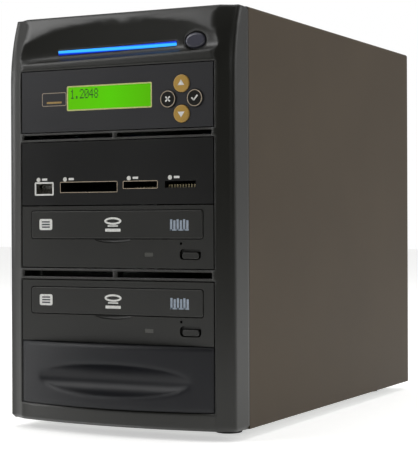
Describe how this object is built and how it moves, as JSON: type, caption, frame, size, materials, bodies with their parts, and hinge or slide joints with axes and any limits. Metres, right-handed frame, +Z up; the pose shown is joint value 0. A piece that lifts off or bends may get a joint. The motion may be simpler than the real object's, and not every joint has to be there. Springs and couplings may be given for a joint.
{
  "type": "disc duplicator tower",
  "caption": "Small tower that copies discs on its own: display and keys, a card reader, tray-loading disc drives and a bowed blank bay cover behind a moulded front, in a folded steel case.",
  "frame": {"origin": "on the floor under the middle of the case", "axes": "+Z up, the moulded front faces -Y, +X is the right-hand side seen from the front"},
  "size_m": [0.177, 0.3519, 0.284],
  "materials": {
    "case_paint": "satin",
    "bezel_plastic": "satin",
    "panel_plastic": "satin",
    "reader_plastic": "satin",
    "drive_plastic": "satin",
    "blank_plastic": "satin",
    "zinc_steel": "satin",
    "display_window": "gloss",
    "display_module": "matte",
    "gold_plastic": "gloss",
    "dark_gloss": "gloss",
    "blue_light": "gloss",
    "grey_button": "gloss",
    "spring_steel": "satin",
    "switch_plastic": "matte",
    "circuit_board": "matte",
    "socket_metal": "satin",
    "lamp_lens": "gloss",
    "tray_plastic": "matte",
    "mechanism_plastic": "matte",
    "motor_steel": "satin",
    "sled_metal": "satin",
    "gear_plastic": "satin",
    "polished_steel": "polished",
    "fan_plastic": "satin",
    "inlet_plastic": "gloss",
    "cable_sleeve": "matte",
    "foot_rubber": "matte"
  },
  "bodies": {
    "tower": {"wrap_cover": "case_paint", "front_bezel": "bezel_plastic", "control_panel": "panel_plastic", "reader_bezel": "reader_plastic", "drive_1_bezel": "drive_plastic", "drive_2_bezel": "drive_plastic", "blank_bay_cover": "blank_plastic", "chassis": "zinc_steel", "bay_rail_left": "zinc_steel", "bay_rail_right": "zinc_steel", "bay_trays": "zinc_steel", "psu_case": "zinc_steel", "drive_1_case": "zinc_steel", "drive_2_case": "zinc_steel", "lcd_window": "display_window", "lcd_module": "display_module", "light_pipe": "blue_light", "power_button_spring": "spring_steel", "power_switch": "switch_plastic", "controller_board": "circuit_board", "reader_board": "circuit_board", "key_board": "circuit_board", "psu_board": "circuit_board", "usb_socket": "socket_metal", "cf_socket": "socket_metal", "sd_socket": "socket_metal", "stick_socket": "socket_metal", "reader_lights": "lamp_lens", "drive_1_busy_light": "lamp_lens", "drive_2_busy_light": "lamp_lens", "drive_1_mechanism": "mechanism_plastic", "drive_2_mechanism": "mechanism_plastic", "guide_rods": "polished_steel", "screws": "polished_steel", "finger_guards": "polished_steel", "rear_fan_frame": "fan_plastic", "mains_inlet": "inlet_plastic", "data_cables": "cable_sleeve", "power_cables": "cable_sleeve", "feet": "foot_rubber"},
    "tray_1": {"drive_1_tray": "tray_plastic", "drive_1_tray_door": "drive_plastic"},
    "gear_1": {"drive_1_loader_gear": "gear_plastic"},
    "spindle_1": {"drive_1_spindle": "motor_steel"},
    "sled_1": {"drive_1_laser_sled": "sled_metal"},
    "eject_1": {"drive_1_eject_button": "drive_plastic"},
    "tray_2": {"drive_2_tray": "tray_plastic", "drive_2_tray_door": "drive_plastic"},
    "gear_2": {"drive_2_loader_gear": "gear_plastic"},
    "spindle_2": {"drive_2_spindle": "motor_steel"},
    "sled_2": {"drive_2_laser_sled": "sled_metal"},
    "eject_2": {"drive_2_eject_button": "drive_plastic"},
    "up_key": {"key_up": "gold_plastic"},
    "down_key": {"key_down": "gold_plastic"},
    "cancel_key": {"key_cancel": "dark_gloss"},
    "confirm_key": {"key_confirm": "dark_gloss"},
    "power_key": {"power_button": "grey_button"},
    "rear_fan": {"rear_fan_rotor": "fan_plastic"},
    "supply_fan": {"psu_fan_rotor": "fan_plastic"},
    "rocker": {"mains_rocker": "inlet_plastic"}
  },
  "joints": [
    {"name": "tray_1_slide", "type": "slide", "parent": "tower", "child": "tray_1", "axis": [0, -1, 0], "range_m": [0, 0.14]},
    {"name": "gear_1_turn", "type": "hinge", "parent": "tower", "child": "gear_1", "pos_m": [-0.041, -0.143, 0.1356], "axis": [0, 0, 1], "range_deg": [0, 892]},
    {"name": "spindle_1_turn", "type": "hinge", "parent": "tower", "child": "spindle_1", "pos_m": [0, -0.095, 0.1218], "axis": [0, 0, 1], "continuous": true},
    {"name": "sled_1_slide", "type": "slide", "parent": "tower", "child": "sled_1", "axis": [0, 1, 0], "range_m": [0, 0.036]},
    {"name": "eject_1_press", "type": "slide", "parent": "tower", "child": "eject_1", "axis": [0, 1, 0], "range_m": [0, 0.0012], "stiffness_N_per_m": 400, "springref_m": -0.001},
    {"name": "tray_2_slide", "type": "slide", "parent": "tower", "child": "tray_2", "axis": [0, -1, 0], "range_m": [0, 0.14]},
    {"name": "gear_2_turn", "type": "hinge", "parent": "tower", "child": "gear_2", "pos_m": [-0.041, -0.143, 0.0852], "axis": [0, 0, 1], "range_deg": [0, 892]},
    {"name": "spindle_2_turn", "type": "hinge", "parent": "tower", "child": "spindle_2", "pos_m": [0, -0.095, 0.0714], "axis": [0, 0, 1], "continuous": true},
    {"name": "sled_2_slide", "type": "slide", "parent": "tower", "child": "sled_2", "axis": [0, 1, 0], "range_m": [0, 0.036]},
    {"name": "eject_2_press", "type": "slide", "parent": "tower", "child": "eject_2", "axis": [0, 1, 0], "range_m": [0, 0.0012], "stiffness_N_per_m": 400, "springref_m": -0.001},
    {"name": "up_key_press", "type": "slide", "parent": "tower", "child": "up_key", "axis": [0, 1, 0], "range_m": [0, 0.0006], "stiffness_N_per_m": 800, "springref_m": -0.0005},
    {"name": "down_key_press", "type": "slide", "parent": "tower", "child": "down_key", "axis": [0, 1, 0], "range_m": [0, 0.0006], "stiffness_N_per_m": 800, "springref_m": -0.0005},
    {"name": "cancel_key_press", "type": "slide", "parent": "tower", "child": "cancel_key", "axis": [0, 1, 0], "range_m": [0, 0.0006], "stiffness_N_per_m": 800, "springref_m": -0.0005},
    {"name": "confirm_key_press", "type": "slide", "parent": "tower", "child": "confirm_key", "axis": [0, 1, 0], "range_m": [0, 0.0006], "stiffness_N_per_m": 800, "springref_m": -0.0005},
    {"name": "power_button_press", "type": "slide", "parent": "tower", "child": "power_key", "axis": [0, 1, 0], "range_m": [0, 0.0025], "stiffness_N_per_m": 300, "springref_m": -0.001, "deforming": ["power_button_spring"]},
    {"name": "rear_fan_turn", "type": "hinge", "parent": "tower", "child": "rear_fan", "pos_m": [0, 0.16, 0.104], "axis": [0, 1, 0], "continuous": true},
    {"name": "supply_fan_turn", "type": "hinge", "parent": "tower", "child": "supply_fan", "pos_m": [-0.025, 0.16, 0.239], "axis": [0, 1, 0], "continuous": true},
    {"name": "mains_rocker_tip", "type": "hinge", "parent": "tower", "child": "rocker", "pos_m": [0.038, 0.169, 0.23], "axis": [1, 0, 0], "range_deg": [0, 14]}
  ],
  "couplings": [
    {"joint": "gear_1_turn", "follows": "tray_1_slide", "rad_per_m": 111.11},
    {"joint": "gear_2_turn", "follows": "tray_2_slide", "rad_per_m": 111.11}
  ]
}
